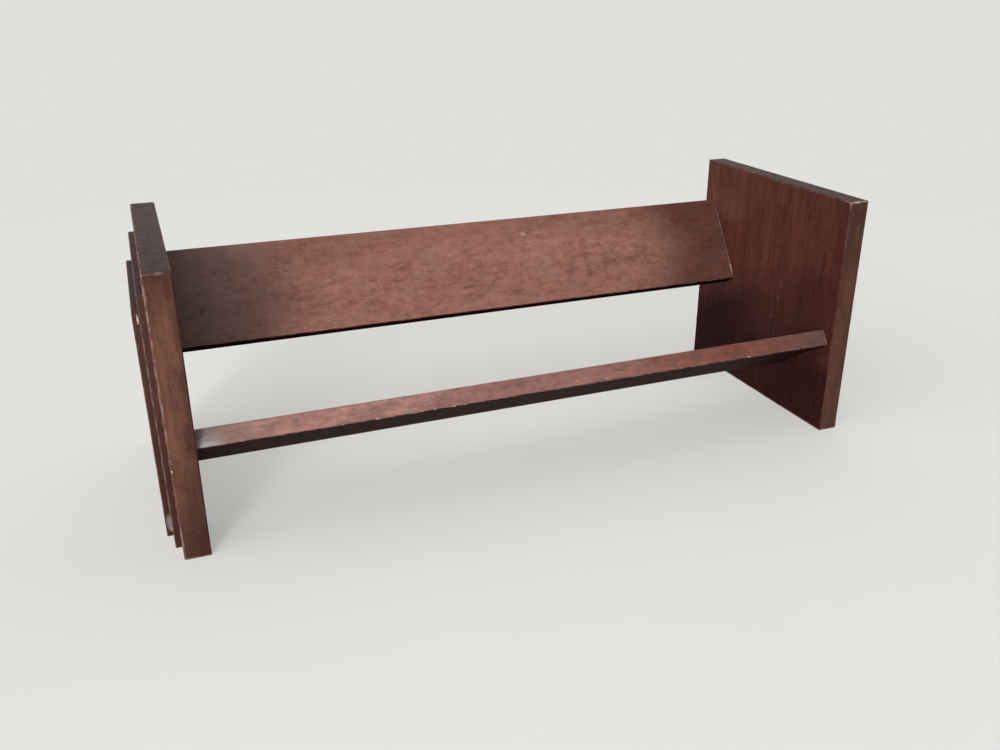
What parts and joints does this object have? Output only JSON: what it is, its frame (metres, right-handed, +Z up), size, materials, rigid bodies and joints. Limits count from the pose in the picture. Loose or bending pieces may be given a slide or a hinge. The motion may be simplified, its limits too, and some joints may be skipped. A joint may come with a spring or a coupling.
{
  "type": "desktop book rack",
  "caption": "Wooden desktop book rack: stepped upright ends joined by a leaning back board and a sloping seat rail that hold a row of books, spines up and forward.",
  "frame": {"origin": "on the table, midway between the two ends and midway between their front and back edges", "axes": "+X along the rack from the left end to the right end as seen from the front, +Y from the front to the back, +Z up"},
  "size_m": [0.505, 0.182, 0.18],
  "materials": {
    "end_wood": "deep red-brown stained mahogany, satin varnish",
    "board_wood": "faded brown stained mahogany, worn satin varnish",
    "screw_steel": "plain steel"
  },
  "bodies": {
    "root": {"end_panel_left": "end_wood", "end_panel_right": "end_wood", "inner_step_board_left": "end_wood", "inner_step_board_right": "end_wood", "outer_step_board_left": "end_wood", "outer_step_board_right": "end_wood", "back_board": "board_wood", "seat_rail": "board_wood", "back_board_screws_left": "screw_steel", "back_board_screws_right": "screw_steel", "seat_rail_screws_left": "screw_steel", "seat_rail_screws_right": "screw_steel"}
  },
  "joints": []
}
